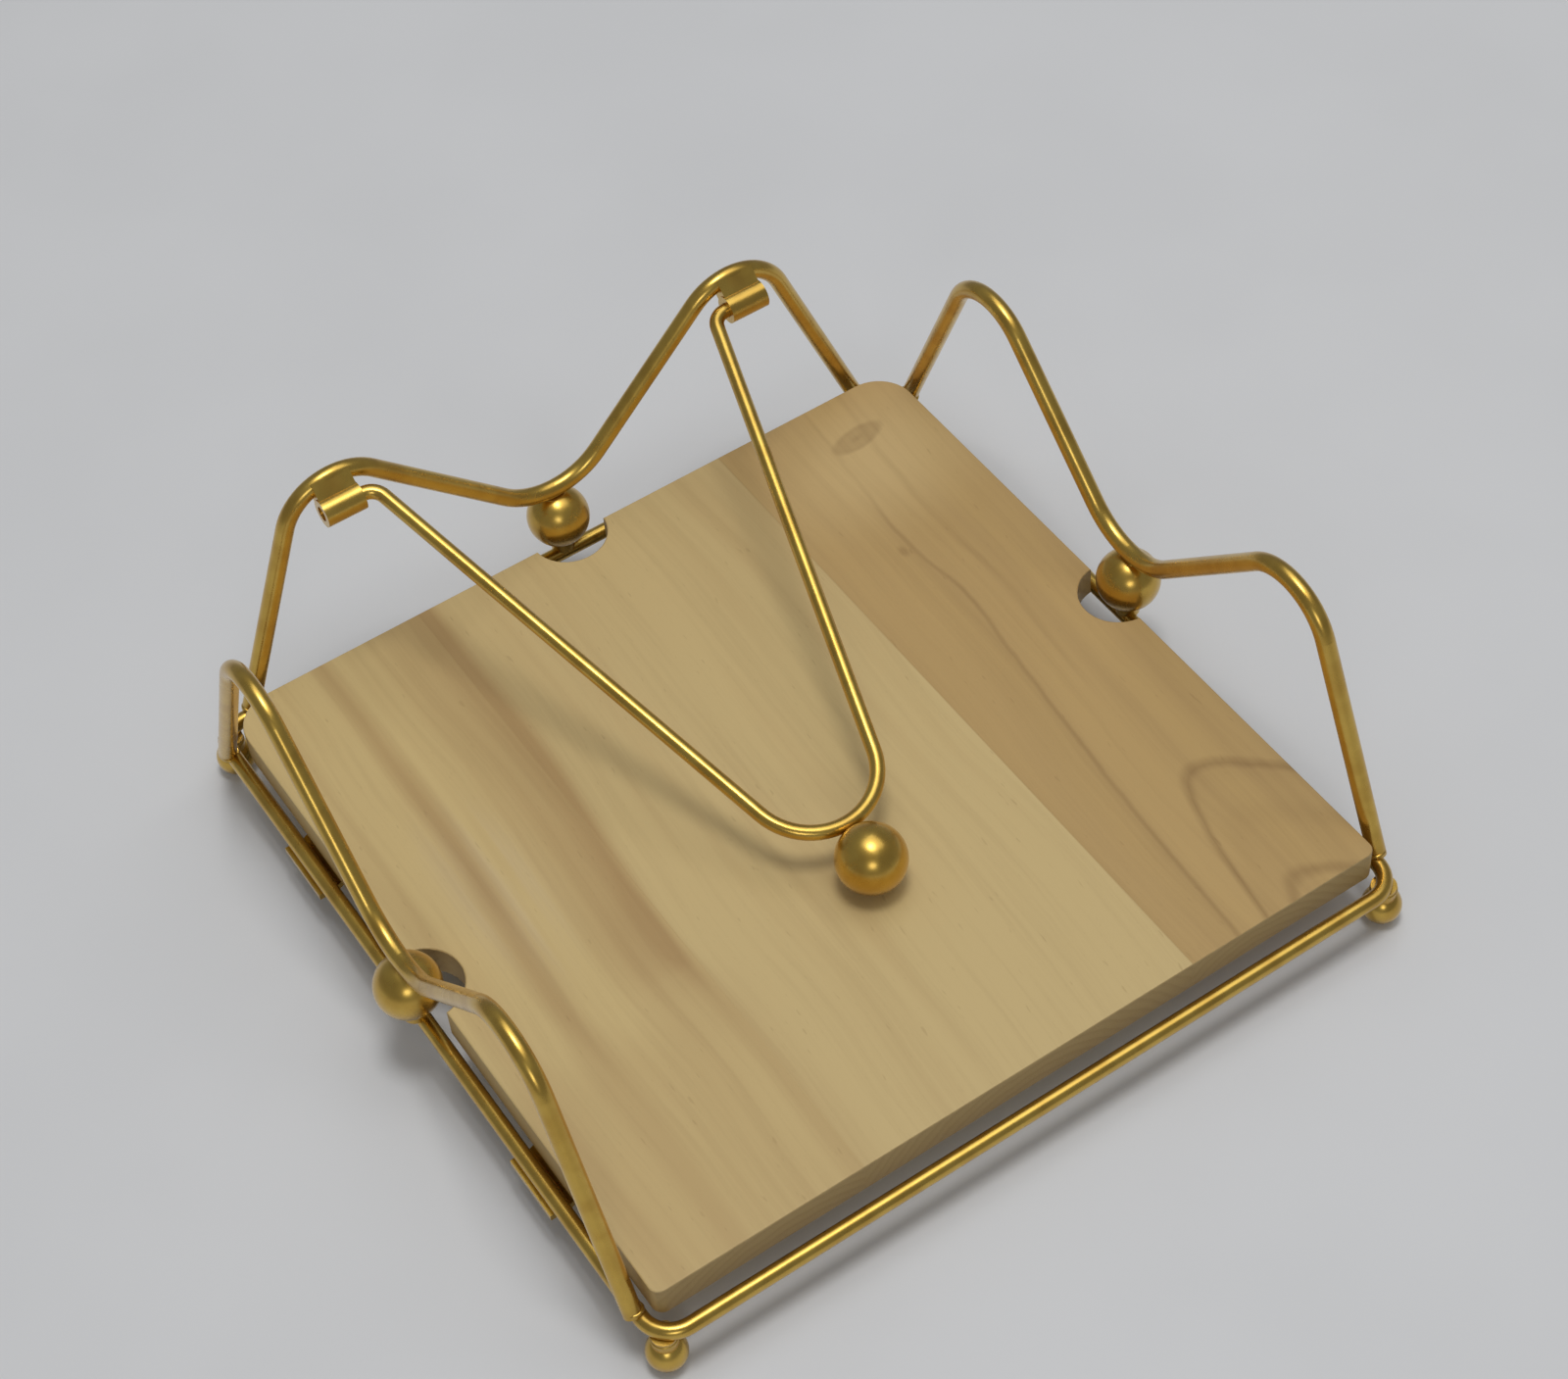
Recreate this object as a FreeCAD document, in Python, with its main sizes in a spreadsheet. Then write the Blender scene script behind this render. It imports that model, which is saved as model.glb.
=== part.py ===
# Napkin holder: a wooden board inside a bent-wire frame, with a hinged wire arm
# whose ball weighs the napkins down.
# Z is up, X runs from left to right, Y runs from the open front to the hinge side.
# The origin is on the table, under the middle of the holder. Lengths are millimetres.
import FreeCAD, Part
import math
import os
import Sketcher

doc = FreeCAD.newDocument("NapkinHolder")
sizes = doc.addObject("Spreadsheet::Sheet", "Sizes")
places = doc.addObject("Spreadsheet::Sheet", "Places")

# ---------------------------------------------------------------- sizes
drivingSizes = [
    ("boardWidth", 180.0, "left to right"),
    ("boardDepth", 180.0, "front to back"),
    ("boardThick", 8.3, ""),
    ("frontRound", 2.5, "upright corners at the front of the board"),
    ("backRound", 9.5, "upright corners at the back of the board"),
    ("edgeBreak", 0.4, "softened top and bottom edges of the board"),
    ("notchGap", 1.6, "radius of a notch beyond the radius of its side ball"),
    ("notchOut", 0.7, "middle of a notch outside the board's edge"),
    ("ringWire", 3.6, "diameter of the base ring's wire"),
    ("ringHeight", 11.9, "middle of the ring wire above the table"),
    ("boardRise", 0.7, "middle of the ring wire up to the underside of the board"),
    ("ringCorner", 7.0, "bend radius at the ring's corners"),
    ("sideGap", 2.7, "board edge to middle of the wire, left and right"),
    ("backGap", 4.0, "the same at the back"),
    ("frontGap", 4.6, "the same at the front"),
    ("sideWire", 4.2, "diameter of the three zigzag wires"),
    ("wireOut", 1.0, "middle of a zigzag wire outward of the middle of the ring wire"),
    ("peakRise", 68.4, "sharp peak of a zigzag above the ring, before bending"),
    ("peakBend", 14.0, "bend radius at a peak"),
    ("dipBend", 18.0, "bend radius at the dip"),
    ("sideLegSetback", 0.5, "leg to the start of the ring's corner, left and right"),
    ("backLegSetback", 2.3, "the same at the back"),
    ("sidePeakInset", 30.5, "leg to peak, measured along the ring, left and right"),
    ("backPeakInset", 26.5, "the same at the back"),
    ("legSink", 0.9, "how far a leg is let into the ring"),
    ("sideBall", 14.8, "ball between the ring and a dip"),
    ("ballLift", 2.1, "gap from ring to side ball, filled by a collar"),
    ("ballSink", 0.3, "how far a ball is let into a wire"),
    ("footBall", 8.8, ""),
    ("footFlat", 0.15, "height worn off under a foot"),
    ("neckWide", 5.6, "collar between a ball or a foot and the ring"),
    ("neckSink", 0.8, "how far a collar is let into the ring"),
    ("lugWide", 16.0, "along the ring"),
    ("lugLong", 24.0, "across the ring"),
    ("lugThick", 1.6, ""),
    ("lugOverhang", 2.5, "past the middle of the ring wire"),
    ("lugFlat", 2.2, "outer flat, inward of the middle of the ring wire"),
    ("lugSlope", 4.0, "slope between the outer flat and the flat under the board"),
    ("lugSpacing", 98.0, "front lug to back lug"),
    ("lugRound", 3.0, "inner corners of a lug"),
    ("lugSink", 0.1, "how far a lug is let into the ring"),
    ("screwInset", 12.0, "ring wire to screw"),
    ("screwHead", 5.6, ""),
    ("headThick", 1.9, ""),
    ("screwShank", 2.6, ""),
    ("screwLong", 7.6, "under the head"),
    ("screwFit", 0.05, "room round a shank"),
    ("crossWide", 0.9, "width of the cross recess"),
    ("crossLong", 3.2, "length of the cross recess"),
    ("crossDeep", 1.1, ""),
    ("sleeveWide", 6.6, "outer diameter of a hinge sleeve"),
    ("sleeveLong", 9.6, ""),
    ("sleeveShift", 0.8, "sleeve middle outward of the peak"),
    ("sleeveDrop", 6.8, "middle of the zigzag wire to the hinge axis"),
    ("sleeveTilt", 45.0, "degrees that the sleeve sits forward of straight below"),
    ("webThick", 3.9, "web between a sleeve and its wire"),
    ("webLong", 9.2, ""),
    ("armWire", 3.4, "diameter of the arm's wire"),
    ("armReach", 129.0, "hinge axis to middle of the arm's ball"),
    ("armBend", 4.0, "bend radius beside a sleeve"),
    ("armTurn", 15.0, "bend radius at the arm's tip"),
    ("armPlay", 0.4, "bend to sleeve, end play"),
    ("hingeFit", 0.06, "room round the arm wire in a sleeve"),
    ("endInset", 0.6, "arm wire short of the sleeve's outer end"),
    ("armBall", 15.8, ""),
    ("restGap", 0.05, "ball to board, so that they only just touch"),
]

# Where things are, worked out from the sizes above.
workedOut = [
    ("sidePlane", "Sizes.boardWidth / 2 + Sizes.sideGap"),
    ("backReach", "Sizes.boardDepth / 2 + Sizes.backGap"),
    ("frontReach", "Sizes.boardDepth / 2 + Sizes.frontGap"),
    ("footInset", "Sizes.ringCorner * (1 - sqrt(0.5))"),
    ("frontEnd", "max(frontReach + Sizes.ringWire / 2; frontReach - footInset + Sizes.footBall / 2)"),
    ("backEnd", "backReach + Sizes.wireOut + Sizes.sideBall / 2"),
    ("boardMiddle", "(frontEnd - backEnd) / 2"),
    ("backPlane", "boardMiddle + backReach"),
    ("sideWirePlane", "sidePlane + Sizes.wireOut"),
    ("backWirePlane", "backPlane + Sizes.wireOut"),
    ("boardBottom", "Sizes.ringHeight + Sizes.boardRise"),
    ("boardTop", "boardBottom + Sizes.boardThick"),
    ("notchRadius", "Sizes.sideBall / 2 + Sizes.notchGap"),
    ("notchSide", "Sizes.boardWidth / 2 + Sizes.notchOut"),
    ("notchBack", "Sizes.boardDepth / 2 + Sizes.notchOut"),
    ("lugStep", "Sizes.boardRise + Sizes.ringWire / 2 - Sizes.lugSink"),
    ("ballRise", "Sizes.ringWire / 2 + Sizes.ballLift + Sizes.sideBall / 2"),
    ("dipRise", "ballRise + Sizes.sideBall / 2 - Sizes.ballSink + Sizes.sideWire / 2"),
    ("legEnd", "Sizes.ringWire / 2 - Sizes.legSink"),
    ("sideLegOut", "min(backReach; frontReach) - Sizes.ringCorner - Sizes.sideLegSetback"),
    ("backLegOut", "sidePlane - Sizes.ringCorner - Sizes.backLegSetback"),
    ("sidePeakOut", "sideLegOut - Sizes.sidePeakInset"),
    ("backPeakOut", "backLegOut - Sizes.backPeakInset"),
    ("dipCentre", "dipRise + Sizes.dipBend"),
    ("peakToDip", "sqrt(backPeakOut ^ 2 + (Sizes.peakRise - dipCentre) ^ 2)"),
    ("innerSlope", "90 + atan2(Sizes.peakRise - dipCentre; backPeakOut) / 1 deg"
                   " - acos(Sizes.dipBend / peakToDip) / 1 deg"),
    ("outerSlope", "atan2(Sizes.peakRise - legEnd; backLegOut - backPeakOut) / 1 deg"),
    ("halfPeak", "(180 - innerSlope - outerSlope) / 2"),
    ("bendAway", "Sizes.peakBend / sin(halfPeak * 1 deg)"),
    ("leanPeak", "(innerSlope - outerSlope) / 2"),
    ("peakMiddle", "backPeakOut + bendAway * sin(leanPeak * 1 deg)"),
    ("peakTop", "Sizes.peakRise - bendAway * cos(leanPeak * 1 deg) + Sizes.peakBend"),
    ("sleeveMiddle", "peakMiddle + Sizes.sleeveShift"),
    ("hingeBack", "backWirePlane - Sizes.sleeveDrop * sin(Sizes.sleeveTilt * 1 deg)"),
    ("hingeUp", "Sizes.ringHeight + peakTop - Sizes.sleeveDrop * cos(Sizes.sleeveTilt * 1 deg)"),
    ("bendStart", "sleeveMiddle - Sizes.sleeveLong / 2 - Sizes.armPlay"),
    ("armEnd", "sleeveMiddle + Sizes.sleeveLong / 2 - Sizes.endInset"),
    ("armTip", "Sizes.armReach - Sizes.armBall / 2 - Sizes.armWire / 2 + Sizes.ballSink"),
    ("armBallUp", "boardTop + Sizes.armBall / 2 + Sizes.restGap"),
    ("armDrop", "asin((hingeUp - armBallUp) / Sizes.armReach) / 1 deg"),
]


def fillSheets():
    for row, (name, value, note) in enumerate(drivingSizes, 1):
        sizes.set("A%d" % row, name)
        sizes.set("B%d" % row, str(value))
        sizes.set("C%d" % row, note)
        sizes.setAlias("B%d" % row, name)
    sizes.recompute()
    for row, (name, formula) in enumerate(workedOut, 1):
        places.set("A%d" % row, name)
        places.setAlias("B%d" % row, name)
        places.set("B%d" % row, "=" + formula)
    doc.recompute()


def size(name):
    return float(sizes.get(name))


def place(name):
    return float(places.get(name))


# ---------------------------------------------------------------- helpers
def vec(x, y, z=0.0):
    return FreeCAD.Vector(x, y, z)


def newBody(name):
    body = doc.addObject("PartDesign::Body", name + "_body")
    body.Label = name
    return body


def originPlane(body, role):
    for feature in body.Origin.OriginFeatures:
        if feature.Role == role:
            return feature
    raise ValueError(role)


def sketchOn(body, role, name):
    sketch = body.newObject("Sketcher::SketchObject", name)
    sketch.AttachmentSupport = [(originPlane(body, role), "")]
    sketch.MapMode = "FlatFace"
    return sketch


def bind(sketch, name, constraint, formula):
    """Add a named measure to a sketch and tie it to the sheets."""
    index = sketch.addConstraint(constraint)
    sketch.renameConstraint(index, name)
    sketch.setExpression("Constraints." + name, formula)


def bindAlong(sketch, name, direction, element, point, at, formula):
    """Tie one coordinate of a point, which may lie either side of the origin."""
    ends = [-1, 1, element, point] if at > 0 else [element, point, -1, 1]
    bind(sketch, name, Sketcher.Constraint(direction, *ends, abs(at)), formula)


def bindPoint(sketch, name, element, point, across, up):
    """Tie a point of a sketch to its distances from the sketch's origin."""
    at = sketch.getPoint(element, point)
    if across == "0":
        sketch.addConstraint(Sketcher.Constraint("PointOnObject", element, point, -2))
    else:
        bindAlong(sketch, name + "Across", "DistanceX", element, point, at.x, across)
    if up == "0":
        sketch.addConstraint(Sketcher.Constraint("PointOnObject", element, point, -1))
    else:
        bindAlong(sketch, name + "Up", "DistanceY", element, point, at.y, up)


def circleIn(sketch, name, x, y, diameter, diameterFormula, across="0", up="0"):
    ring = sketch.addGeometry(Part.Circle(vec(x, y), vec(0, 0, 1), diameter / 2), False)
    bind(sketch, name, Sketcher.Constraint("Diameter", ring, diameter), diameterFormula)
    bindPoint(sketch, name + "Middle", ring, 3, across, up)


def joinSmoothly(sketch, first, firstPoint, second, secondPoint):
    sketch.addConstraint(Sketcher.Constraint("Tangent", first, firstPoint, second, secondPoint))


def cornerPoint(sketch, name, x, y, lines, across, up):
    """The sharp corner that two lines would meet at, before it is bent round."""
    point = sketch.addGeometry(Part.Point(vec(x, y)), True)
    for line in lines:
        sketch.addConstraint(Sketcher.Constraint("PointOnObject", point, 1, line))
    bindPoint(sketch, name, point, 1, across, up)


def arc(sketch, middle, radius, start, end):
    """Anticlockwise arc between two angles in degrees."""
    circle = Part.Circle(middle, vec(0, 0, 1), radius)
    bend = Part.ArcOfCircle(circle, math.radians(start), math.radians(end))
    return sketch.addGeometry(bend, False)


def line(sketch, start, end):
    return sketch.addGeometry(Part.LineSegment(start, end), False)


def polar(middle, radius, degrees):
    turn = math.radians(degrees)
    return middle + vec(radius * math.cos(turn), radius * math.sin(turn))


def sweepHalf(body, path, profile, name):
    """Sweep half of a bent wire and mirror it left to right."""
    pipe = body.newObject("PartDesign::AdditivePipe", name + "Half")
    pipe.Profile = profile
    pipe.Spine = (path, ["Edge%d" % (i + 1) for i in range(len(path.Shape.Edges))])
    pipe.Mode = "Frenet"
    doc.recompute()
    expected = profile.Shape.Length ** 2 / (4 * math.pi) * path.Shape.Length
    if abs(pipe.Shape.Volume / expected - 1) > 0.01:
        raise ValueError("%s: swept volume %.1f, expected %.1f" % (name, pipe.Shape.Volume, expected))
    mirror = body.newObject("PartDesign::Mirrored", name + "Both")
    mirror.Originals = [pipe]
    mirror.MirrorPlane = (originPlane(body, "YZ_Plane"), [""])
    body.Tip = mirror
    doc.recompute()


def put(thing, across="0", along="0", up="0", turn=None):
    """Tie a piece's place to the sheets. turn is an axis and degrees, or a formula."""
    if turn:
        thing.Placement = FreeCAD.Placement(vec(0, 0, 0), FreeCAD.Rotation(turn[0], 1))
        if isinstance(turn[1], str):
            thing.setExpression("Placement.Rotation.Angle", turn[1])
        else:
            thing.Placement = FreeCAD.Placement(vec(0, 0, 0), FreeCAD.Rotation(turn[0], turn[1]))
    for letter, formula in zip("xyz", (across, along, up)):
        thing.setExpression("Placement.Base." + letter, formula)


def fitTo(name, piece, *neighbours):
    """Cut a piece to the shape of what it is welded to."""
    piece.Label = name + "_blank"
    for step, neighbour in enumerate(neighbours, 1):
        cut = doc.addObject("Part::Cut", "%s_fit%d" % (name, step))
        cut.Base = piece
        cut.Tool = neighbour
        cut.Label = "%s_step%d" % (name, step)
        piece = cut
    piece.Label = name
    return piece


# ---------------------------------------------------------------- wires
def baseRing():
    """Closed ring of wire round the board, at one height."""
    body = newBody("base_ring")
    path = sketchOn(body, "XY_Plane", "RingPath")
    side, back, front = place("sidePlane"), place("backReach"), place("frontReach")
    bend = size("ringCorner")
    lower = line(path, vec(0, -front), vec(side - bend, -front))
    nearBend = arc(path, vec(side - bend, bend - front), bend, -90, 0)
    right = line(path, vec(side, bend - front), vec(side, back - bend))
    farBend = arc(path, vec(side - bend, back - bend), bend, 0, 90)
    upper = line(path, vec(side - bend, back), vec(0, back))
    joinSmoothly(path, lower, 2, nearBend, 1)
    joinSmoothly(path, nearBend, 2, right, 1)
    joinSmoothly(path, right, 2, farBend, 1)
    joinSmoothly(path, farBend, 2, upper, 1)
    bind(path, "nearBend", Sketcher.Constraint("Radius", nearBend, bend), "Sizes.ringCorner")
    bind(path, "farBend", Sketcher.Constraint("Radius", farBend, bend), "Sizes.ringCorner")
    bindPoint(path, "frontMiddle", lower, 1, "0", "Places.frontReach")
    bindPoint(path, "backMiddle", upper, 2, "0", "Places.backReach")
    cornerPoint(path, "nearCorner", side, -front, (lower, right), "Places.sidePlane", "Places.frontReach")
    cornerPoint(path, "farCorner", side, back, (right, upper), "Places.sidePlane", "Places.backReach")
    profile = sketchOn(body, "YZ_Plane", "RingProfile")
    circleIn(profile, "wire", -front, 0, size("ringWire"), "Sizes.ringWire", across="Places.frontReach")
    doc.recompute()
    sweepHalf(body, path, profile, "Ring")
    put(body, along="Places.boardMiddle", up="Sizes.ringHeight")
    return body


def zigzagWire(name, legOutName, peakOutName):
    """Leg, peak and dip of one side: half of the wire, mirrored."""
    body = newBody(name)
    path = sketchOn(body, "XZ_Plane", name + "_path")
    dipBend, peakBend = size("dipBend"), size("peakBend")
    dipMiddle = vec(0, place("dipCentre"))
    peak = vec(place(peakOutName), size("peakRise"))
    leg = vec(place(legOutName), place("legEnd"))
    away = peak - dipMiddle
    slope = 90 + math.degrees(math.atan2(away.y, away.x) - math.acos(dipBend / away.Length))
    steep = math.degrees(math.atan2(peak.y - leg.y, leg.x - peak.x))
    half = math.radians((180 - slope - steep) / 2)
    peakMiddle = polar(peak, peakBend / math.sin(half), 270 + (slope - steep) / 2)
    dip = arc(path, dipMiddle, dipBend, -90, slope - 90)
    inner = line(path, polar(dipMiddle, dipBend, slope - 90), polar(peakMiddle, peakBend, slope + 90))
    top = arc(path, peakMiddle, peakBend, 90 - steep, slope + 90)
    outer = line(path, polar(peakMiddle, peakBend, 90 - steep), leg)
    joinSmoothly(path, dip, 2, inner, 1)
    joinSmoothly(path, inner, 2, top, 2)
    joinSmoothly(path, top, 1, outer, 1)
    bind(path, "dipBend", Sketcher.Constraint("Radius", dip, dipBend), "Sizes.dipBend")
    bind(path, "peakBend", Sketcher.Constraint("Radius", top, peakBend), "Sizes.peakBend")
    bindPoint(path, "dipStart", dip, 1, "0", "Places.dipRise")
    path.addConstraint(Sketcher.Constraint("PointOnObject", dip, 3, -2))
    bindPoint(path, "leg", outer, 2, "Places." + legOutName, "Places.legEnd")
    cornerPoint(path, "peak", peak.x, peak.y, (inner, outer), "Places." + peakOutName, "Sizes.peakRise")
    profile = sketchOn(body, "YZ_Plane", name + "_profile")
    circleIn(profile, "wire", 0, place("dipRise"), size("sideWire"), "Sizes.sideWire", up="Places.dipRise")
    doc.recompute()
    sweepHalf(body, path, profile, name)
    return body


def pressArm():
    """V of wire with a round tip; its two ends lie in the hinge sleeves.
    Drawn flat, pointing to the front from the hinge axis, then dropped on to the board."""
    body = newBody("press_arm")
    path = sketchOn(body, "XY_Plane", "ArmPath")
    tip, turn, bend = place("armTip"), size("armTurn"), size("armBend")
    start, end = place("bendStart"), place("armEnd")
    turnMiddle = vec(0, turn - tip)
    bendMiddle = vec(start, -bend)
    away = turnMiddle - bendMiddle
    lean = math.degrees(math.acos((turn + bend) / away.Length) - math.atan2(-away.y, start))
    uTurn = arc(path, turnMiddle, turn, -90, -lean)
    leg = line(path, polar(turnMiddle, turn, -lean), polar(bendMiddle, bend, 180 - lean))
    corner = arc(path, bendMiddle, bend, 90, 180 - lean)
    pin = line(path, vec(start, 0), vec(end, 0))
    joinSmoothly(path, uTurn, 2, leg, 1)
    joinSmoothly(path, leg, 2, corner, 2)
    joinSmoothly(path, corner, 1, pin, 1)
    bind(path, "turn", Sketcher.Constraint("Radius", uTurn, turn), "Sizes.armTurn")
    bind(path, "bend", Sketcher.Constraint("Radius", corner, bend), "Sizes.armBend")
    bindPoint(path, "tip", uTurn, 1, "0", "Places.armTip")
    path.addConstraint(Sketcher.Constraint("PointOnObject", uTurn, 3, -2))
    bindPoint(path, "pinStart", pin, 1, "Places.bendStart", "0")
    bindPoint(path, "pinEnd", pin, 2, "Places.armEnd", "0")
    profile = sketchOn(body, "YZ_Plane", "ArmProfile")
    circleIn(profile, "wire", -tip, 0, size("armWire"), "Sizes.armWire", across="Places.armTip")
    doc.recompute()
    sweepHalf(body, path, profile, "Arm")
    put(body, along="Places.hingeBack", up="Places.hingeUp", turn=(vec(1, 0, 0), "Places.armDrop * 1 deg"))
    return body


# ---------------------------------------------------------------- board
def edgesWhere(shape, test):
    """Names of a shape's edges that pass a test."""
    return ["Edge%d" % (i + 1) for i, edge in enumerate(shape.Edges) if test(edge)]


def isUpright(edge, width):
    low, high = edge.BoundBox.ZMin, edge.BoundBox.ZMax
    return edge.BoundBox.XLength + edge.BoundBox.YLength < 1e-6 and high > low and \
        abs(abs(edge.CenterOfMass.x) - width / 2) < 1e-6


def baseBoard():
    """Wooden board with three round notches for the side balls and four screw holes below."""
    body = newBody("base_board")
    outline = sketchOn(body, "XY_Plane", "BoardOutline")
    wide, deep = size("boardWidth"), size("boardDepth")
    corners = [vec(-wide / 2, -deep / 2), vec(wide / 2, -deep / 2), vec(wide / 2, deep / 2),
               vec(-wide / 2, deep / 2)]
    sides = [line(outline, corners[i], corners[(i + 1) % 4]) for i in range(4)]
    for i in range(4):
        outline.addConstraint(Sketcher.Constraint("Coincident", sides[i], 2, sides[(i + 1) % 4], 1))
        level = "Horizontal" if i % 2 == 0 else "Vertical"
        outline.addConstraint(Sketcher.Constraint(level, sides[i]))
    outline.addConstraint(Sketcher.Constraint("Symmetric", sides[0], 1, sides[1], 2, -1, 1))
    bind(outline, "wide", Sketcher.Constraint("DistanceX", sides[0], 1, sides[0], 2, wide),
         "Sizes.boardWidth")
    bind(outline, "deep", Sketcher.Constraint("DistanceY", sides[1], 1, sides[1], 2, deep),
         "Sizes.boardDepth")
    slab = body.newObject("PartDesign::Pad", "BoardSlab")
    slab.Profile = outline
    slab.setExpression("Length", "Sizes.boardThick")
    doc.recompute()

    solid = slab
    for name, sizeName, isBack in (("BoardFront", "frontRound", False), ("BoardBack", "backRound", True)):
        edges = edgesWhere(solid.Shape, lambda e: isUpright(e, wide) and (e.CenterOfMass.y > 0) == isBack)
        rounded = body.newObject("PartDesign::Fillet", name)
        rounded.Base = (solid, edges)
        rounded.setExpression("Radius", "Sizes." + sizeName)
        doc.recompute()
        solid = rounded

    notches = sketchOn(body, "XY_Plane", "Notches")
    diameter = 2 * place("notchRadius")
    double = "2 * Places.notchRadius"
    circleIn(notches, "rightNotch", place("notchSide"), 0, diameter, double, across="Places.notchSide")
    circleIn(notches, "leftNotch", -place("notchSide"), 0, diameter, double, across="Places.notchSide")
    circleIn(notches, "backNotch", 0, place("notchBack"), diameter, double, up="Places.notchBack")
    cutNotches = body.newObject("PartDesign::Pocket", "CutNotches")
    cutNotches.Profile = notches
    cutNotches.Type = "ThroughAll"
    cutNotches.Reversed = True
    doc.recompute()

    rims = edgesWhere(cutNotches.Shape, lambda e: e.BoundBox.ZLength < 1e-6)
    softened = body.newObject("PartDesign::Fillet", "SoftEdges")
    softened.Base = (cutNotches, rims)
    softened.setExpression("Radius", "Sizes.edgeBreak")
    doc.recompute()

    holes = sketchOn(body, "XY_Plane", "ScrewHoles")
    wideHole = size("screwShank") + 2 * size("screwFit")
    for name, x, y in screwSpots():
        circleIn(holes, name, x, y, wideHole, "Sizes.screwShank + 2 * Sizes.screwFit",
                 across="Places.sidePlane - Sizes.screwInset", up="Sizes.lugSpacing / 2")
    drilled = body.newObject("PartDesign::Pocket", "DrillHoles")
    drilled.Profile = holes
    drilled.Reversed = True
    drilled.setExpression("Length", "Sizes.screwLong - Sizes.lugThick + 2 * Sizes.screwFit")
    doc.recompute()
    if not drilled.Shape.Volume < softened.Shape.Volume < cutNotches.Shape.Volume < slab.Shape.Volume:
        raise ValueError("a cut in the board took nothing away")
    put(body, along="Places.boardMiddle", up="Places.boardBottom")
    return body


def screwSpots():
    """Name and place of each screw, measured from the middle of the board."""
    x = place("sidePlane") - size("screwInset")
    y = size("lugSpacing") / 2
    return [("front_left", -x, -y), ("front_right", x, -y), ("back_left", -x, y), ("back_right", x, y)]


# ---------------------------------------------------------------- small pieces
def ball(name, diameter, across="0", along="0", up="0"):
    sphere = doc.addObject("Part::Sphere", name + "_ball")
    sphere.setExpression("Radius", diameter + " / 2")
    put(sphere, across, along, up)
    return sphere


def sideBall(name, across, along, ring, wire):
    """Ball under a dip, with a collar that runs down to the ring."""
    body = newBody(name)
    outline = sketchOn(body, "XZ_Plane", name + "_outline")
    radius, neck = size("sideBall") / 2, size("neckWide") / 2
    low = size("ringWire") / 2 - size("neckSink") - place("ballRise")
    start = -math.degrees(math.acos(neck / radius))
    shoulder = polar(vec(0, 0), radius, start)
    under = line(outline, vec(0, low), vec(neck, low))
    collar = line(outline, vec(neck, low), shoulder)
    bulge = arc(outline, vec(0, 0), radius, start, 90)
    axis = line(outline, vec(0, radius), vec(0, low))
    for first, firstPoint, second in ((under, 2, collar), (collar, 2, bulge), (bulge, 2, axis),
                                      (axis, 2, under)):
        outline.addConstraint(Sketcher.Constraint("Coincident", first, firstPoint, second, 1))
    outline.addConstraint(Sketcher.Constraint("Horizontal", under))
    outline.addConstraint(Sketcher.Constraint("Vertical", collar))
    outline.addConstraint(Sketcher.Constraint("Vertical", axis))
    outline.addConstraint(Sketcher.Constraint("Coincident", bulge, 3, -1, 1))
    bind(outline, "ball", Sketcher.Constraint("Radius", bulge, radius), "Sizes.sideBall / 2")
    bindPoint(outline, "collarEnd", under, 2, "Sizes.neckWide / 2",
              "Places.ballRise - Sizes.ringWire / 2 + Sizes.neckSink")
    outline.addConstraint(Sketcher.Constraint("PointOnObject", axis, 2, -2))
    turned = body.newObject("PartDesign::Revolution", name + "_turned")
    turned.Profile = outline
    turned.ReferenceAxis = (outline, ["V_Axis"])
    turned.Angle = 360
    doc.recompute()
    put(body, across, along, "Sizes.ringHeight + Places.ballRise")
    return fitTo(name, body, ring, wire)


def foot(name, across, along, ring):
    """Ball with a small worn flat under it and a collar that runs up to the ring."""
    body = newBody(name)
    outline = sketchOn(body, "XZ_Plane", name + "_outline")
    radius, flat, neck = size("footBall") / 2, size("footFlat"), size("neckWide") / 2
    top = size("ringHeight") - size("ringWire") / 2 + size("neckSink")
    middle = vec(0, radius - flat)
    flatHalf = math.sqrt(radius ** 2 - middle.y ** 2)
    start = math.degrees(math.atan2(-middle.y, flatHalf))
    end = math.degrees(math.acos(neck / radius))
    shoulder = polar(middle, radius, end)
    under = line(outline, vec(0, 0), vec(flatHalf, 0))
    bulge = arc(outline, middle, radius, start, end)
    collar = line(outline, shoulder, vec(neck, top))
    over = line(outline, vec(neck, top), vec(0, top))
    axis = line(outline, vec(0, top), vec(0, 0))
    for first, firstPoint, second in ((under, 2, bulge), (bulge, 2, collar), (collar, 2, over),
                                      (over, 2, axis), (axis, 2, under)):
        outline.addConstraint(Sketcher.Constraint("Coincident", first, firstPoint, second, 1))
    outline.addConstraint(Sketcher.Constraint("Horizontal", under))
    outline.addConstraint(Sketcher.Constraint("Vertical", collar))
    outline.addConstraint(Sketcher.Constraint("Horizontal", over))
    outline.addConstraint(Sketcher.Constraint("Coincident", under, 1, -1, 1))
    bind(outline, "ball", Sketcher.Constraint("Radius", bulge, radius), "Sizes.footBall / 2")
    bindPoint(outline, "middle", bulge, 3, "0", "Sizes.footBall / 2 - Sizes.footFlat")
    bindPoint(outline, "top", over, 1, "Sizes.neckWide / 2",
              "Sizes.ringHeight - Sizes.ringWire / 2 + Sizes.neckSink")
    outline.addConstraint(Sketcher.Constraint("PointOnObject", axis, 1, -2))
    turned = body.newObject("PartDesign::Revolution", name + "_turned")
    turned.Profile = outline
    turned.ReferenceAxis = (outline, ["V_Axis"])
    turned.Angle = 360
    doc.recompute()
    put(body, across, along)
    return fitTo(name, body, ring)


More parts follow.
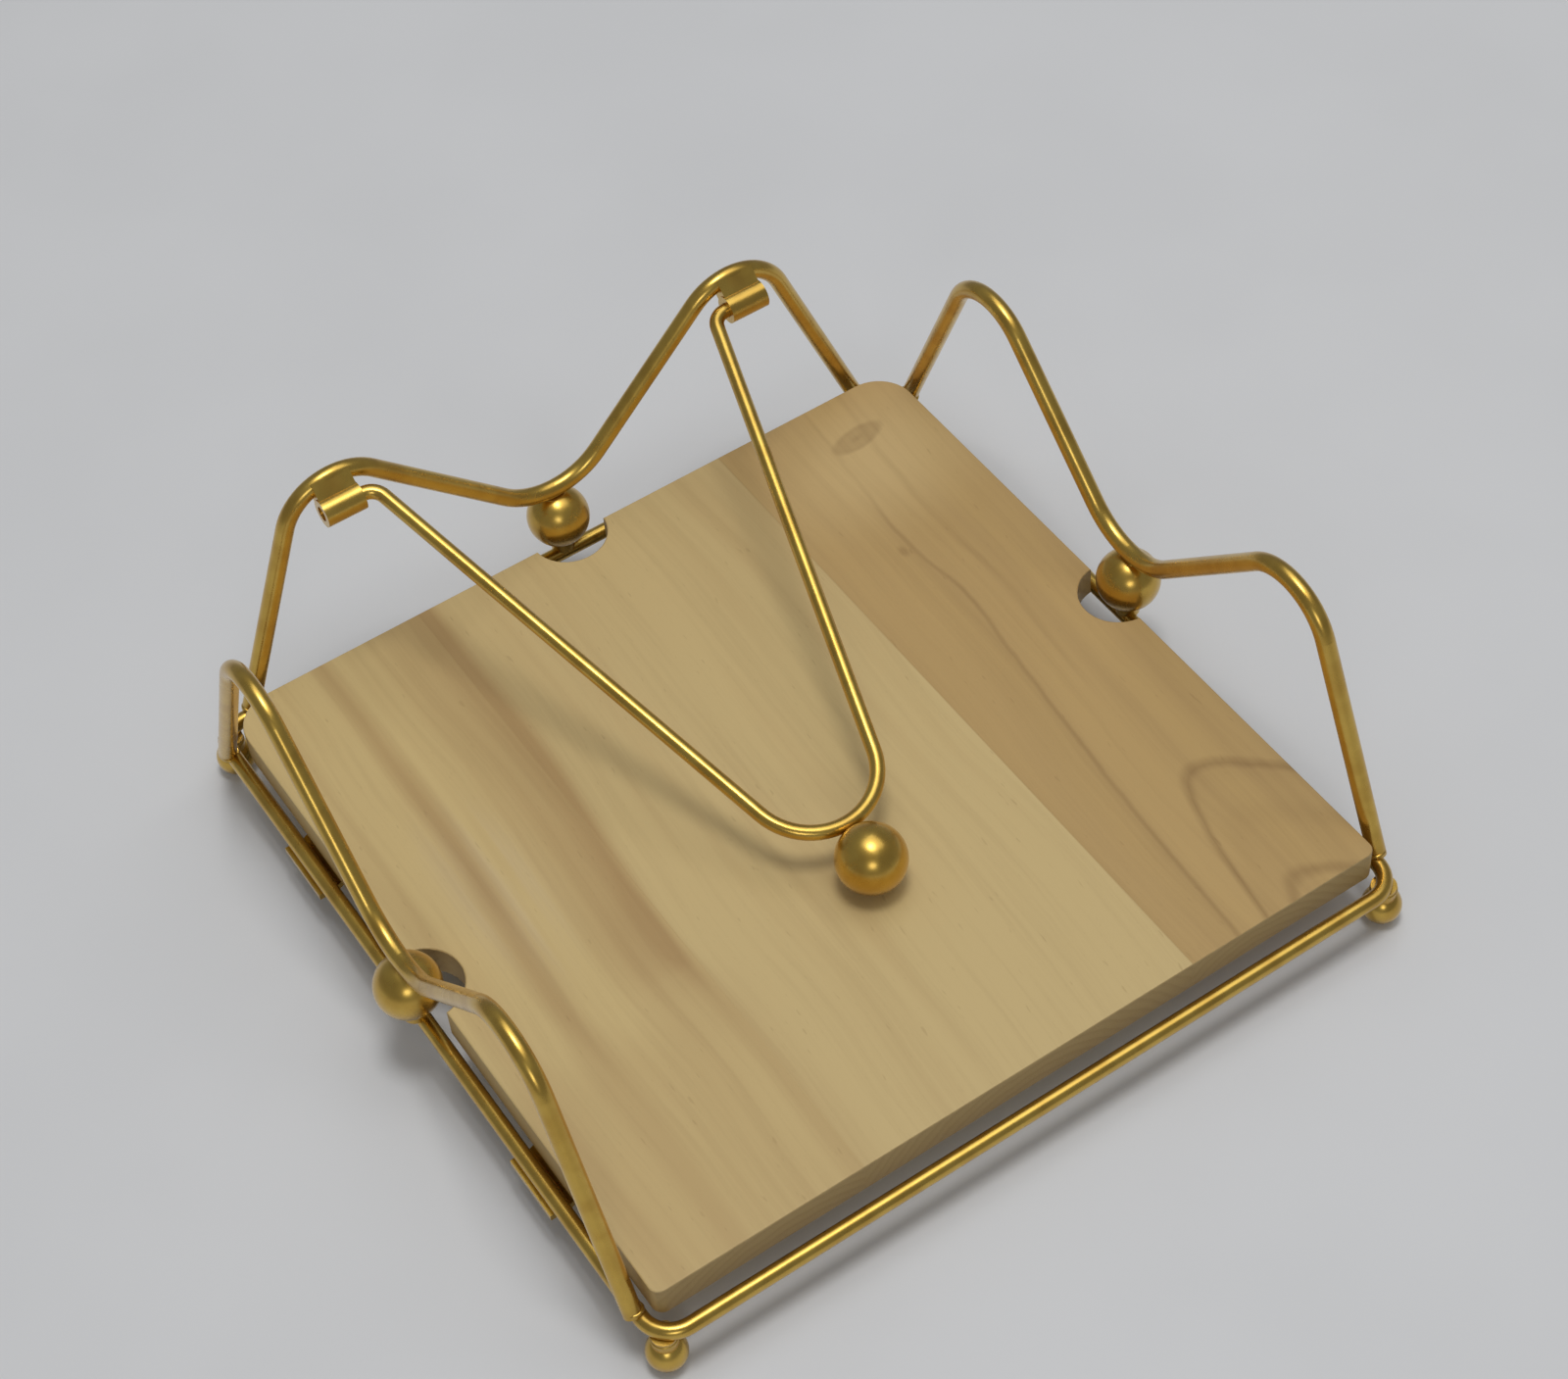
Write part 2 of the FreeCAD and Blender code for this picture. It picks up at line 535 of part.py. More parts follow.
def lug(name, onRight, along, ring):
    """Stepped lug, welded under the ring, with a hole for one screw up into the board.
    Drawn from the middle of the ring wire, level with the underside of the flat below the board."""
    body = newBody(name)
    outline = sketchOn(body, "XZ_Plane", name + "_outline")
    outer, thick = size("lugOverhang"), size("lugThick")
    inner = size("lugLong") - outer
    step, bendOut = place("lugStep"), size("lugFlat")
    bendIn = bendOut + size("lugSlope")
    corners = [vec(outer, -step), vec(outer, thick - step), vec(-bendOut, thick - step),
               vec(-bendIn, thick), vec(-inner, thick), vec(-inner, 0), vec(-bendIn, 0),
               vec(-bendOut, -step)]
    sides = [line(outline, corners[i], corners[(i + 1) % 8]) for i in range(8)]
    for i in range(8):
        outline.addConstraint(Sketcher.Constraint("Coincident", sides[i], 2, sides[(i + 1) % 8], 1))
    low, high = "Places.lugStep", "Places.lugStep - Sizes.lugThick"
    end, slope = "Sizes.lugLong - Sizes.lugOverhang", "Sizes.lugFlat + Sizes.lugSlope"
    formulas = (("Sizes.lugOverhang", low), ("Sizes.lugOverhang", high), ("Sizes.lugFlat", high),
                (slope, "Sizes.lugThick"), (end, "Sizes.lugThick"), (end, "0"), (slope, "0"),
                ("Sizes.lugFlat", low))
    for i, (acrossFormula, upFormula) in enumerate(formulas):
        bindPoint(outline, "corner%d" % i, sides[i], 1, acrossFormula, upFormula)
    plate = body.newObject("PartDesign::Pad", name + "_plate")
    plate.Profile = outline
    plate.Midplane = True
    plate.setExpression("Length", "Sizes.lugWide")
    doc.recompute()
    ends = edgesWhere(plate.Shape, lambda e: e.BoundBox.ZLength > 1e-6 and e.BoundBox.YLength < 1e-6
                      and e.CenterOfMass.x < 1e-6 - inner)
    rounded = body.newObject("PartDesign::Fillet", name + "_rounded")
    rounded.Base = (plate, ends)
    rounded.setExpression("Radius", "Sizes.lugRound")
    holeSketch = sketchOn(body, "XY_Plane", name + "_holeCircle")
    hole = size("screwShank") + 2 * size("screwFit")
    circleIn(holeSketch, "hole", -size("screwInset"), 0, hole, "Sizes.screwShank + 2 * Sizes.screwFit",
             across="Sizes.screwInset")
    drilled = body.newObject("PartDesign::Pocket", name + "_drilled")
    drilled.Profile = holeSketch
    drilled.Type = "ThroughAll"
    drilled.Reversed = True
    doc.recompute()
    if not drilled.Shape.Volume < rounded.Shape.Volume < plate.Shape.Volume:
        raise ValueError(name + ": a cut took nothing away")
    across = "Places.sidePlane" if onRight else "-Places.sidePlane"
    put(body, across, along, "Places.boardBottom - Sizes.lugThick",
        turn=(vec(0, 0, 1), 0 if onRight else 180))
    return fitTo(name, body, ring)


def screw(name, across, along):
    """Pan-head screw, driven up through a lug into the board."""
    body = newBody(name)
    shankSketch = sketchOn(body, "XY_Plane", name + "_shankCircle")
    circleIn(shankSketch, "shank", 0, 0, size("screwShank"), "Sizes.screwShank")
    shank = body.newObject("PartDesign::Pad", name + "_shank")
    shank.Profile = shankSketch
    shank.setExpression("Length", "Sizes.screwLong")
    headSketch = sketchOn(body, "XY_Plane", name + "_headCircle")
    circleIn(headSketch, "head", 0, 0, size("screwHead"), "Sizes.screwHead")
    head = body.newObject("PartDesign::Pad", name + "_head")
    head.Profile = headSketch
    head.Reversed = True
    head.setExpression("Length", "Sizes.headThick")
    doc.recompute()
    rim = edgesWhere(head.Shape, lambda e: abs(e.CenterOfMass.z + size("headThick")) < 1e-6)
    domed = body.newObject("PartDesign::Fillet", name + "_domed")
    domed.Base = (head, rim)
    domed.setExpression("Radius", "Sizes.headThick * 0.6")
    crossSketch = sketchOn(body, "XY_Plane", name + "_cross")
    crossSketch.AttachmentOffset = FreeCAD.Placement(vec(0, 0, -size("headThick")), FreeCAD.Rotation())
    crossSketch.setExpression("AttachmentOffset.Base.z", "-Sizes.headThick")
    crossOutline(crossSketch, size("crossWide") / 2, size("crossLong") / 2)
    recess = body.newObject("PartDesign::Pocket", name + "_recess")
    recess.Profile = crossSketch
    recess.Reversed = True
    recess.setExpression("Length", "Sizes.crossDeep")
    doc.recompute()
    if not recess.Shape.Volume < domed.Shape.Volume < head.Shape.Volume:
        raise ValueError(name + ": a cut took nothing away")
    put(body, across, along, "Places.boardBottom - Sizes.lugThick")
    body.Label = name
    return body


def crossOutline(sketch, near, far):
    """Closed outline of a cross, centred on the sketch's origin."""
    quarter = [(far, -near), (far, near), (near, near)]
    points = []
    for turn in range(4):
        for x, y in quarter:
            for _ in range(turn):
                x, y = -y, x
            points.append(vec(x, y))
    sides = [line(sketch, points[i], points[(i + 1) % len(points)]) for i in range(len(points))]
    for i, side in enumerate(sides):
        following = sides[(i + 1) % len(sides)]
        sketch.addConstraint(Sketcher.Constraint("Coincident", side, 2, following, 1))
    for i in range(0, len(points), 3):
        long = i % 2 == 0
        bindPoint(sketch, "end%d" % i, sides[i], 1, *crossFormulas(long))
        bindPoint(sketch, "tip%d" % i, sides[i], 2, *crossFormulas(long))
        bindPoint(sketch, "root%d" % i, sides[i + 1], 2, "Sizes.crossWide / 2", "Sizes.crossWide / 2")


def crossFormulas(alongX):
    pair = ("Sizes.crossLong / 2", "Sizes.crossWide / 2")
    return pair if alongX else pair[::-1]


def hingeSleeve(name, across, wire):
    """Short tube that the arm's end turns in, with a web up to the wire that carries it."""
    body = newBody(name)
    rings = sketchOn(body, "YZ_Plane", name + "_rings")
    bore = size("armWire") + 2 * size("hingeFit")
    circleIn(rings, "outside", 0, 0, size("sleeveWide"), "Sizes.sleeveWide")
    circleIn(rings, "bore", 0, 0, bore, "Sizes.armWire + 2 * Sizes.hingeFit")
    tube = body.newObject("PartDesign::Pad", name + "_tube")
    tube.Profile = rings
    tube.Midplane = True
    tube.setExpression("Length", "Sizes.sleeveLong")
    webSketch = sketchOn(body, "YZ_Plane", name + "_webOutline")
    half, top = size("webThick") / 2, size("sleeveDrop")
    root = (size("sleeveWide") + bore) / 4
    corners = [vec(-half, root), vec(half, root), vec(half, top), vec(-half, top)]
    sides = [line(webSketch, corners[i], corners[(i + 1) % 4]) for i in range(4)]
    for i in range(4):
        webSketch.addConstraint(Sketcher.Constraint("Coincident", sides[i], 2, sides[(i + 1) % 4], 1))
        level = "Horizontal" if i % 2 == 0 else "Vertical"
        webSketch.addConstraint(Sketcher.Constraint(level, sides[i]))
    bindPoint(webSketch, "root", sides[0], 1, "Sizes.webThick / 2",
              "(Sizes.sleeveWide + Sizes.armWire + 2 * Sizes.hingeFit) / 4")
    bindPoint(webSketch, "top", sides[2], 1, "Sizes.webThick / 2", "Sizes.sleeveDrop")
    web = body.newObject("PartDesign::Pad", name + "_web")
    web.Profile = webSketch
    web.Midplane = True
    web.setExpression("Length", "Sizes.webLong")
    doc.recompute()
    put(body, across, "Places.hingeBack", "Places.hingeUp",
        turn=(vec(-1, 0, 0), "Sizes.sleeveTilt * 1 deg"))
    return fitTo(name, body, wire)


def armBall(arm):
    """Weight at the arm's tip, resting on the board."""
    along = "Places.hingeBack - sqrt(Sizes.armReach ^ 2 - (Places.hingeUp - Places.armBallUp) ^ 2)"
    sphere = ball("arm_ball", "Sizes.armBall", along=along, up="Places.armBallUp")
    doc.recompute()
    return fitTo("arm_ball", sphere, arm)


# ---------------------------------------------------------------- assembly
def sideWires(ring):
    """The three zigzag wires, each let into the ring at its two legs."""
    wires = {}
    for name, legOut, peakOut, across, along, turn in (
            ("back_side_wire", "backLegOut", "backPeakOut", "0", "Places.backWirePlane", 0),
            ("left_side_wire", "sideLegOut", "sidePeakOut", "-Places.sideWirePlane",
             "Places.boardMiddle", 90),
            ("right_side_wire", "sideLegOut", "sidePeakOut", "Places.sideWirePlane",
             "Places.boardMiddle", 90)):
        wire = zigzagWire(name, legOut, peakOut)
        put(wire, across, along, "Sizes.ringHeight", turn=(vec(0, 0, 1), turn))
        doc.recompute()
        wires[name] = fitTo(name, wire, ring)
    return wires


def sideBalls(ring, wires):
    balls = []
    for name, wire, across, along in (
            ("back_side_ball", "back_side_wire", "0", "Places.backWirePlane"),
            ("left_side_ball", "left_side_wire", "-Places.sideWirePlane", "Places.boardMiddle"),
            ("right_side_ball", "right_side_wire", "Places.sideWirePlane", "Places.boardMiddle")):
        balls.append(sideBall(name, across, along, ring, wires[wire]))
    return balls


def buildAll():
    ring = baseRing()
    wires = sideWires(ring)
    pieces = [baseBoard(), ring] + list(wires.values()) + sideBalls(ring, wires)
    for end, along in (("front", "Places.boardMiddle - Places.frontReach + Places.footInset"),
                       ("back", "Places.backPlane - Places.footInset")):
        for side, across in (("left", "Places.footInset - Places.sidePlane"),
                             ("right", "Places.sidePlane - Places.footInset")):
            pieces.append(foot("foot_%s_%s" % (end, side), across, along, ring))
    for corner, x, y in screwSpots():
        along = "Places.boardMiddle %s Sizes.lugSpacing / 2" % ("+" if y > 0 else "-")
        across = "%s(Places.sidePlane - Sizes.screwInset)" % ("" if x > 0 else "-")
        pieces.append(lug("board_lug_" + corner, x > 0, along, ring))
        pieces.append(screw("board_screw_" + corner, across, along))
    for side, sign in (("left", "-"), ("right", "")):
        sleeve = hingeSleeve("hinge_sleeve_" + side, sign + "Places.sleeveMiddle",
                             wires["back_side_wire"])
        pieces.append(sleeve)
    arm = pressArm()
    pieces += [arm, armBall(arm)]
    doc.recompute()
    return pieces


def checkAll(pieces):
    for thing in doc.Objects:
        if "Invalid" in thing.State or "Error" in thing.State:
            raise ValueError("%s failed: %s" % (thing.Name, thing.State))
    for piece in pieces:
        shape = piece.Shape
        if shape.isNull() or not shape.isValid() or len(shape.Solids) != 1:
            raise ValueError("%s is not one good solid" % piece.Label)


def exportAll(pieces):
    os.makedirs("parts", exist_ok=True)
    for piece in pieces:
        piece.Shape.exportStep("parts/%s.step" % piece.Label)


fillSheets()
allPieces = buildAll()
checkAll(allPieces)
exportAll(allPieces)
print("%d pieces written" % len(allPieces))
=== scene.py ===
import math

import bpy
from mathutils import Matrix, Vector, noise


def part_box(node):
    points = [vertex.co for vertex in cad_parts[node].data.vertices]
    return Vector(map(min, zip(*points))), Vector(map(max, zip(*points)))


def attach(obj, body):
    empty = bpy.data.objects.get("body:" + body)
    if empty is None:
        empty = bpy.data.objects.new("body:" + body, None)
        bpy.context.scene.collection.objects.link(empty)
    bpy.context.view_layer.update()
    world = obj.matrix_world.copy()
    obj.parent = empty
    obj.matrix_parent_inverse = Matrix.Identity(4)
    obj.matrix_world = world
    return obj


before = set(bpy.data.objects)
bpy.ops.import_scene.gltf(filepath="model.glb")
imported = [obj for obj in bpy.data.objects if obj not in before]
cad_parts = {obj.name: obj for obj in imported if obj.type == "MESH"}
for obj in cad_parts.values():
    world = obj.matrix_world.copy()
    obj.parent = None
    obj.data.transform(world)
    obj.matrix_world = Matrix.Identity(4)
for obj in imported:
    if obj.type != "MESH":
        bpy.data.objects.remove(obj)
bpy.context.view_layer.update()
print("napkin holder: frame loaded,", len(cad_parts), "solid pieces")

millimetre = 0.001


# short ways to build a material's nodes
class Shader:
    def __init__(self, name):
        self.material = bpy.data.materials.new(name)
        self.material.use_nodes = True
        self.tree = self.material.node_tree
        self.tree.nodes.clear()
        self.surface = self.node("ShaderNodeBsdfPrincipled")
        output = self.node("ShaderNodeOutputMaterial")
        self.tree.links.new(self.surface.outputs["BSDF"], output.inputs["Surface"])

    def node(self, kind, **settings):
        made = self.tree.nodes.new(kind)
        for name, value in settings.items():
            setattr(made, name, value)
        return made

    def give(self, socket, value):
        if isinstance(value, bpy.types.NodeSocket):
            self.tree.links.new(value, socket)
        elif hasattr(value, "__len__") and len(value) == 3 and len(socket.default_value) == 4:
            socket.default_value = (*value, 1)
        else:
            socket.default_value = value

    def calc(self, operation, first, second=None, third=None):
        made = self.node("ShaderNodeMath", operation=operation)
        for socket, value in zip(made.inputs, (first, second, third)):
            if value is not None:
                self.give(socket, value)
        return made.outputs[0]

    def add(self, first, *others):
        for other in others:
            first = self.calc("ADD", first, other)
        return first

    def minus(self, first, second):
        return self.calc("SUBTRACT", first, second)

    def times(self, first, second):
        return self.calc("MULTIPLY", first, second)

    def scaled(self, value, factor, plus):
        return self.calc("MULTIPLY_ADD", value, factor, plus)

    def apart(self, first, second):
        return self.calc("ABSOLUTE", self.minus(first, second))

    def rest(self, share):
        return self.minus(1.0, share)

    def within(self, value):
        # keeps a share between none and all
        return self.calc("MINIMUM", self.calc("MAXIMUM", value, 0.0), 1.0)

    def vector(self, operation, first, second=None):
        made = self.node("ShaderNodeVectorMath", operation=operation)
        self.give(made.inputs[0], first)
        if second is not None:
            self.give(made.inputs[1], second)
        return made.outputs["Value" if operation in ("DISTANCE", "LENGTH") else "Vector"]

    def split(self, vector):
        made = self.node("ShaderNodeSeparateXYZ")
        self.give(made.inputs[0], vector)
        return made.outputs[0], made.outputs[1], made.outputs[2]

    def join(self, x, y, z=0.0):
        made = self.node("ShaderNodeCombineXYZ")
        for socket, value in zip(made.inputs, (x, y, z)):
            self.give(socket, value)
        return made.outputs[0]

    def ramp(self, value, low, high, atLow=0.0, atHigh=1.0, smooth=True):
        # goes from atLow to atHigh while value goes from low to high
        made = self.node("ShaderNodeMapRange", interpolation_type="SMOOTHSTEP" if smooth else "LINEAR")
        for socket, given in zip(made.inputs, (value, low, high, atLow, atHigh)):
            self.give(socket, given)
        return made.outputs[0]

    def curve(self, value, path):
        # a value from none to all, bent through the points of a path
        bend = self.node("ShaderNodeFloatCurve")
        points = bend.mapping.curves[0].points
        points[0].location = path[0]
        points[1].location = path[-1]
        for spot in path[1:-1]:
            points.new(*spot)
        bend.mapping.update()
        self.give(bend.inputs["Value"], value)
        return bend.outputs[0]

    def cloud(self, where, scale=1.0, detail=2.0):
        made = self.node("ShaderNodeTexNoise")
        self.give(made.inputs["Vector"], where)
        made.inputs["Scale"].default_value = scale
        made.inputs["Detail"].default_value = detail
        return made.outputs["Fac"]

    def blend(self, share, first, second):
        made = self.node("ShaderNodeMix", data_type="RGBA")
        self.give(made.inputs["Factor"], share)
        self.give(made.inputs[6], first)
        self.give(made.inputs[7], second)
        return made.outputs[2]

    def place(self, origin=(0, 0, 0)):
        # where a point lies, in millimetres from the origin, riding with its piece
        coordinates = self.node("ShaderNodeTexCoord")
        shifted = self.vector("SUBTRACT", coordinates.outputs["Object"], tuple(origin))
        return self.vector("MULTIPLY", shifted, (1 / millimetre,) * 3)

    def bump(self, height, distance, strength):
        made = self.node("ShaderNodeBump")
        made.inputs["Strength"].default_value = strength
        made.inputs["Distance"].default_value = distance * millimetre
        self.give(made.inputs["Height"], height)
        self.give(self.surface.inputs["Normal"], made.outputs[0])

    def set(self, **values):
        for name, value in values.items():
            self.give(self.surface.inputs[name.replace("_", " ")], value)


def middleOf(node):
    low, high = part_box(node)
    return (low + high) / 2


# wooden board: three glued staves, grain from front to back.
# places and widths are millimetres from its middle, x to the right and y to the back;
# a ramp reads: from, to, value at from, value at to; a strength of 1 is the full colour
boardLook = {
    "colours": {
        "centre": (0.660, 0.490, 0.217),   # sapwood
        "left": (0.665, 0.490, 0.212),
        "right": (0.575, 0.378, 0.139),
        "blush": (0.470, 0.300, 0.118),    # pinkish bands
        "pale": (0.645, 0.452, 0.196),     # light patch near the knot
        "bright": (0.700, 0.540, 0.300),   # whiter streaks on the left
        "line": (0.240, 0.130, 0.040),     # late wood lines and streaks
        "end": (0.455, 0.325, 0.140),      # end grain
    },
    "edgeAt": 90.0,                        # front and back edges
    "staves": {
        "jointAt": 41.0,                   # glue lines left and right of the middle
        "jointSoft": 0.15,
        "glueLine": (0.05, 0.40, 0.14, 0.0),
        "grainApart": 40.0,                # staves come from different parts of the log
        "grainPerHeight": 0.3,
    },
    "grain": {
        "wander": 9.0,                     # how far the streaks wander sideways
        "wanderScale": (0.02, 0.012),
        "lean": 0.035,
        "broad": (8.0, 150.0, 2.0),        # streaks: width, length, detail
        "narrow": (2.4, 90.0, 3.0),
        "fine": (0.55, 24.0, 2.0),
        "broadBlush": 1.1,
        "narrowTone": 0.34,
        "fineTone": 0.14,
        "tone": 0.02,
    },
    "blush": {
        "centreStreaks": (-0.05, 0.28, 0.0, 0.30),
        "centreBack": (0.0, 90.0, 0.0, 0.16),
        "left": 0.03,
        "leftFront": (-26.0, -46.0, 0.0, 0.29),
        "leftFrontSide": (-46.0, -31.0, 1.0, 0.0),
        "right": (-60.0, 80.0, 0.32, 0.44),
    },
    "bands": {                             # dark bands on the left, fading towards the front
        "thin": (                          # place across, half width, strength
            (-67.0, 4.6, 0.58),
            (-61.0, 1.4, 0.10),
            (-54.0, 1.2, 0.10),
            (-77.5, 1.6, 0.12),
            (-82.5, 1.8, 0.12),
        ),
        "wander": 0.25,
        "leanOut": (38.0, -22.0, 0.0, 3.4),
        "leanBack": (-22.0, -50.0, 0.0, -2.0),
        "fade": (-48.0, -22.0, 0.08, 1.0),
        "edge": -39.8,                     # the widest band darkens up to a soft edge here
        "rise": (-17.0, -0.5),
        "fall": (-0.5, 4.0, 1.0, 0.0),
        "strength": 1.2,
        "along": ((0.0, 0.06), (0.22, 0.10), (0.33, 0.60), (0.40, 0.96), (0.50, 0.80), (0.75, 0.73),
                  (1.0, 0.82)),            # front to back: share of that strength
    },
    "bright": {
        "middle": (-66.0, 12.2),
        "squash": 0.45,
        "reach": (4.0, 16.0, 0.55, 0.0),
        "streaks": (-0.2, 0.15),
    },
    "pale": {"middle": (70.0, 67.0), "squash": 0.75, "reach": (3.0, 29.0, 0.95, 0.0)},
    "arches": {                            # cathedral grain at the front right corner
        "top": (73.0, -50.0),
        "inward": (2.35, 0.104),           # how the legs drop: power, factor
        "outward": (1.58, 0.14),
        "steep": 0.07,
        "ripple": 3.0,
        "rippleScale": 0.11,
        "lines": ((0.0, 3.0, 0.38), (-35.0, 3.2, 0.36), (-17.0, 6.0, 0.06)),   # level, width, strength
        "inside": (0.0, -9.0, 0.16, 0.07),
        "insideEdge": (-0.8, 0.4, 1.0, 0.0),
    },
    "longLine": {
        # front to back: how far right it runs, as a share of the right stave
        "path": ((0.0, 0.30), (0.28, 0.39), (0.50, 0.50), (0.61, 0.55), (0.72, 0.51), (0.85, 0.55),
                 (1.0, 0.62)),
        "stave": (40.0, 41.0),             # the stave's width and where it starts
        "ripple": 0.35,
        "line": (0.0, 1.0, 0.24, 0.0),
        "shade": (-13.0, 0.0, 0.0, 0.14),
        "shadeEdge": (0.0, 1.2, 1.0, 0.0),
        "fade": (44.0, 66.0, 1.0, 0.30),
        "speck": (59.0, 39.0),
        "speckSquash": 0.6,
        "speckReach": (0.3, 1.6, 0.30, 0.0),
        "beside": 9.5,                     # a fainter line to its right
        "besideLine": (0.0, 1.5, 0.12, 0.0),
        "besideFade": (-30.0, 10.0),
    },
    "knot": {
        "middle": (71.0, 75.3),
        "half": (6.8, 3.2),
        "tilt": 0.12,
        "ripple": 0.10,
        "fill": (0.60, 1.20, 0.30, 0.0),
        "rings": ((0.0, 0.4, 0.14), (0.90, 0.30, 0.14)),   # place, width, strength
    },
    "flecks": (                            # scattered fibres: scale across, along, then a ramp
        (1.1, 0.22, (0.72, 0.80, 0.0, 0.18)),
        (3.4, 0.5, (0.64, 0.80, 0.0, 0.07)),
    ),
    "endGrainAndSideShade": {
        "onEnd": (0.55, 0.75),             # how squarely a face looks forwards or backwards
        "onSide": (0.45, 0.25),            # how little it looks up
        # painted shade: how much darker the long vertical sides are made
        "paintedSideShade": 0.30,
        "pithApart": 58.0,                 # growth rings turn round a pith below each stave
        "pithRise": 9.0,
        "pithHeight": -31.0,
        "perMillimetre": 0.42,
        "waver": 1.2,
        "waverScale": 0.12,
        "ring": (0.35, 0.96, 0.04, 0.20),
        "poreScale": (3.2, 0.4, 3.2),
        "pores": (0.5, 0.72, 0.0, 0.25),
    },
    "surface": {
        "roughness": 0.52,
        "darkRougher": 0.16,
        "coat": 0.06,
        "coatRoughness": 0.40,
        "bend": 1.45,                      # how strongly the oil bends light
        "fibreScale": 1.4,
        "fibres": 0.35,
        "fibreHeight": 0.06,
        "fibreStrength": 0.5,
    },
}


def woodMaterial():
    colours, staves = boardLook["colours"], boardLook["staves"]
    grain, end = boardLook["grain"], boardLook["endGrainAndSideShade"]
    s = Shader("oiledStaves")
    where = s.place(middleOf("base_board"))
    x, y, z = s.split(where)
    joint, soft = staves["jointAt"], staves["jointSoft"]
    onRight = s.ramp(x, joint - soft, joint + soft)
    onLeft = s.ramp(x, soft - joint, -soft - joint)
    staveNumber = s.minus(onRight, onLeft)
    depth = s.scaled(staveNumber, staves["grainApart"], s.times(z, staves["grainPerHeight"]))

    # grain wanders a little along the board
    acrossScale, alongScale = grain["wanderScale"]
    slow = s.cloud(s.join(s.times(x, acrossScale), s.times(y, alongScale), depth), detail=1.0)
    wander = s.times(s.minus(slow, 0.5), grain["wander"])
    lean = s.times(s.times(y, grain["lean"]), s.rest(onLeft))
    across = s.add(s.minus(x, lean), wander)

    def streaks(width, length, detail):
        spot = s.join(s.calc("DIVIDE", across, width), s.calc("DIVIDE", y, length), depth)
        return s.minus(s.cloud(spot, detail=detail), 0.5)

    broad = streaks(*grain["broad"])
    narrow = streaks(*grain["narrow"])
    fine = streaks(*grain["fine"])
    blush = woodBlush(s, x, y, across, broad, onLeft, onRight)

    # growth lines
    tone = s.scaled(narrow, grain["narrowTone"], grain["tone"])
    tone = s.scaled(fine, grain["fineTone"], tone)
    tone = s.add(tone, s.times(rightLines(s, x, y), onRight), flecks(s, across, y, depth))
    tone = s.add(tone, s.ramp(s.apart(x, joint), *staves["glueLine"]))

    # end grain: growth rings round a pith below the board, and painted shade darkening the long sides
    forwards, upwards = s.split(s.node("ShaderNodeTexCoord").outputs["Normal"])[1:]
    onEnd = s.ramp(s.calc("ABSOLUTE", forwards), *end["onEnd"])
    onSide = s.ramp(s.calc("ABSOLUTE", upwards), *end["onSide"])
    pith = s.join(s.minus(x, s.times(staveNumber, end["pithApart"])), 0.0,
                  s.minus(z, s.scaled(staveNumber, end["pithRise"], end["pithHeight"])))
    waver = s.cloud(s.vector("MULTIPLY", where, (end["waverScale"],) * 3))
    rings = s.add(s.times(s.vector("LENGTH", pith), end["perMillimetre"]), s.times(waver, end["waver"]))
    ringTone = s.ramp(s.calc("FRACT", rings), *end["ring"])
    pores = s.ramp(s.cloud(s.vector("MULTIPLY", where, end["poreScale"]), detail=3.0), *end["pores"])
    tone = s.add(s.times(tone, s.rest(onEnd)), s.times(s.add(ringTone, pores), onEnd))
    # painted shade on the long vertical sides
    tone = s.add(tone, s.times(s.times(onSide, s.rest(onEnd)), end["paintedSideShade"]))

    colour = s.blend(onLeft, colours["centre"], colours["left"])
    colour = s.blend(onRight, colour, colours["right"])
    colour = s.blend(brightStreaks(s, x, y, narrow), colour, colours["bright"])
    colour = s.blend(s.within(blush), colour, colours["blush"])
    colour = s.blend(s.times(nearMiddle(s, where, boardLook["pale"]), onRight), colour, colours["pale"])
    colour = s.blend(onEnd, colour, colours["end"])
    colour = s.blend(s.within(tone), colour, colours["line"])

    surface = boardLook["surface"]
    s.set(Base_Color=colour, Metallic=0.0)
    s.set(Roughness=s.scaled(tone, surface["darkRougher"], surface["roughness"]))
    s.set(Coat_Weight=surface["coat"], Coat_Roughness=surface["coatRoughness"], IOR=surface["bend"])
    fibres = s.add(fine, s.times(s.cloud(where, surface["fibreScale"], 3.0), surface["fibres"]))
    s.bump(s.minus(fibres, s.times(pores, onEnd)), surface["fibreHeight"], surface["fibreStrength"])
    return s.material


def woodBlush(s, x, y, across, broad, onLeft, onRight):
    # pinkish tint: bands on the left, faint streaks in the centre, the whole right stave
    look, strength = boardLook["blush"], boardLook["grain"]["broadBlush"]
    left = s.add(s.times(s.scaled(broad, strength, look["left"]), onLeft), leftBands(s, x, y, across))
    front = s.times(s.ramp(y, *look["leftFront"]), s.ramp(x, *look["leftFrontSide"]))
    right = s.times(s.scaled(broad, strength, s.ramp(y, *look["right"])), onRight)
    centre = s.add(s.ramp(broad, *look["centreStreaks"]), s.ramp(y, *look["centreBack"]))
    centre = s.times(centre, s.rest(s.add(onLeft, onRight)))
    return s.add(left, front, right, centre)


def leftBands(s, x, y, across):
    look = boardLook["bands"]
    lean = s.add(s.ramp(y, *look["leanOut"]), s.ramp(y, *look["leanBack"]))
    place = s.add(x, lean, s.times(s.minus(across, x), look["wander"]))
    fade = s.ramp(y, *look["fade"])
    beside = s.minus(place, look["edge"])
    wide = s.times(s.ramp(beside, *look["rise"], smooth=False), s.ramp(beside, *look["fall"]))
    total = s.times(s.times(wide, s.curve(frontToBack(s, y), look["along"])), look["strength"])
    for middle, half, strength in look["thin"]:
        band = s.ramp(s.apart(place, middle), 0.0, half, strength, 0.0)
        total = s.add(total, s.times(band, fade))
    return total


def frontToBack(s, y):
    # none at the front edge, all at the back edge
    return s.ramp(y, -boardLook["edgeAt"], boardLook["edgeAt"], smooth=False)


